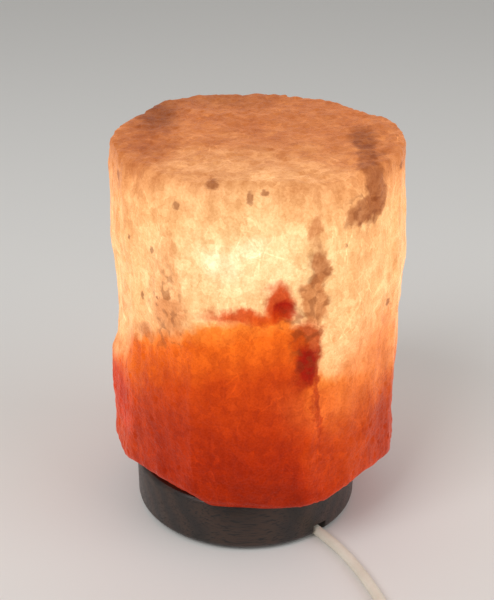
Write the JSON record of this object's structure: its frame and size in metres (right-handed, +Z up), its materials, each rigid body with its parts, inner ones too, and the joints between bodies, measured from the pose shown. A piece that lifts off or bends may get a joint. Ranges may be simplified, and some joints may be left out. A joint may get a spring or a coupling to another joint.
{
  "type": "salt crystal lamp",
  "caption": "Hewn rock salt block lit from inside by a small screw bulb, on a round dark wooden base, with a pale mains cord, in-line rocker switch and two-pin plug.",
  "frame": {"origin": "on the floor, under the middle of the crystal's bounding box, 5 mm right of the lamp axis (bulb, bore and base)", "axes": "+Z up; -Y is the front seen in the picture, where the cord leaves towards the right"},
  "size_m": [0.1571, 0.3355, 0.1992],
  "materials": {
    "rock_salt": "hewn, translucent, lit from inside",
    "dark_wood": "dark stained and lacquered, turned",
    "black_rubber": "soft foot",
    "wall_plug_plastic": "ribbed wall plug",
    "zinc_steel": "zinc plated",
    "spring_steel": "bent strip",
    "holder_black": "moulded",
    "holder_ceramic": "glazed insert",
    "brass": "stamped",
    "grip_plastic": "moulded collar",
    "core_insulation": "thin insulation",
    "cord_jacket": "smooth pale round cord",
    "clear_glass": "clear blown glass",
    "bulb_black_glass": "vitrite ring",
    "solder": "solder dot",
    "wire_metal": "thin support wire",
    "filament_hot": "glowing coil",
    "switch_plastic": "fine texture",
    "rocker_plastic": "smooth",
    "plug_plastic": "moulded",
    "pin_metal": "nickel plated",
    "pin_sleeve_black": "insulating sleeve",
    "tie_fabric": "hook and loop strap"
  },
  "bodies": {
    "light_unit": {"holder_plate": "zinc_steel", "threaded_nipple": "zinc_steel", "lock_nut": "zinc_steel", "terminal_screws": "zinc_steel", "grip_screw": "zinc_steel", "switch_screws": "zinc_steel", "rocker_pin": "zinc_steel", "spring_clips": "spring_steel", "holder_cap": "holder_black", "holder_shell": "holder_black", "terminal_block": "holder_ceramic", "thread_sleeve": "brass", "centre_contact": "brass", "switch_contacts": "brass", "cord_grip": "grip_plastic", "lead_cores": "core_insulation", "inner_lead": "cord_jacket", "cord_to_switch": "cord_jacket", "cord_coil": "cord_jacket", "cord_to_coil": "cord_jacket", "cord_to_plug": "cord_jacket", "switch_lower_shell": "switch_plastic", "switch_upper_shell": "switch_plastic", "plug_body": "plug_plastic", "plug_pins": "pin_metal", "pin_sleeves": "pin_sleeve_black", "cord_tie": "tie_fabric"},
    "crystal_on_base": {"salt_crystal": "rock_salt", "wooden_base": "dark_wood", "base_pads": "black_rubber", "crystal_screws": "zinc_steel", "crystal_plugs": "wall_plug_plastic"},
    "bulb": {"bulb_glass": "clear_glass", "bulb_cap": "brass", "bulb_insulator": "bulb_black_glass", "bulb_contact": "solder", "bulb_stem": "clear_glass", "support_wires": "wire_metal", "filament": "filament_hot"},
    "rocker": {"switch_rocker": "rocker_plastic"}
  },
  "joints": [
    {"name": "crystal_lift", "type": "slide", "parent": "light_unit", "child": "crystal_on_base", "axis": [0, 0, 1], "range_m": [0, 0.13]},
    {"name": "bulb_turn", "type": "hinge", "parent": "light_unit", "child": "bulb", "pos_m": [-0.005, 0, 0.055], "axis": [0, 0, 1], "range_deg": [0, 1260]},
    {"name": "rocker_press", "type": "hinge", "parent": "light_unit", "child": "rocker", "pos_m": [-0.012, -0.253, 0.0105], "axis": [0, -1, 0], "range_deg": [0, 24]}
  ]
}
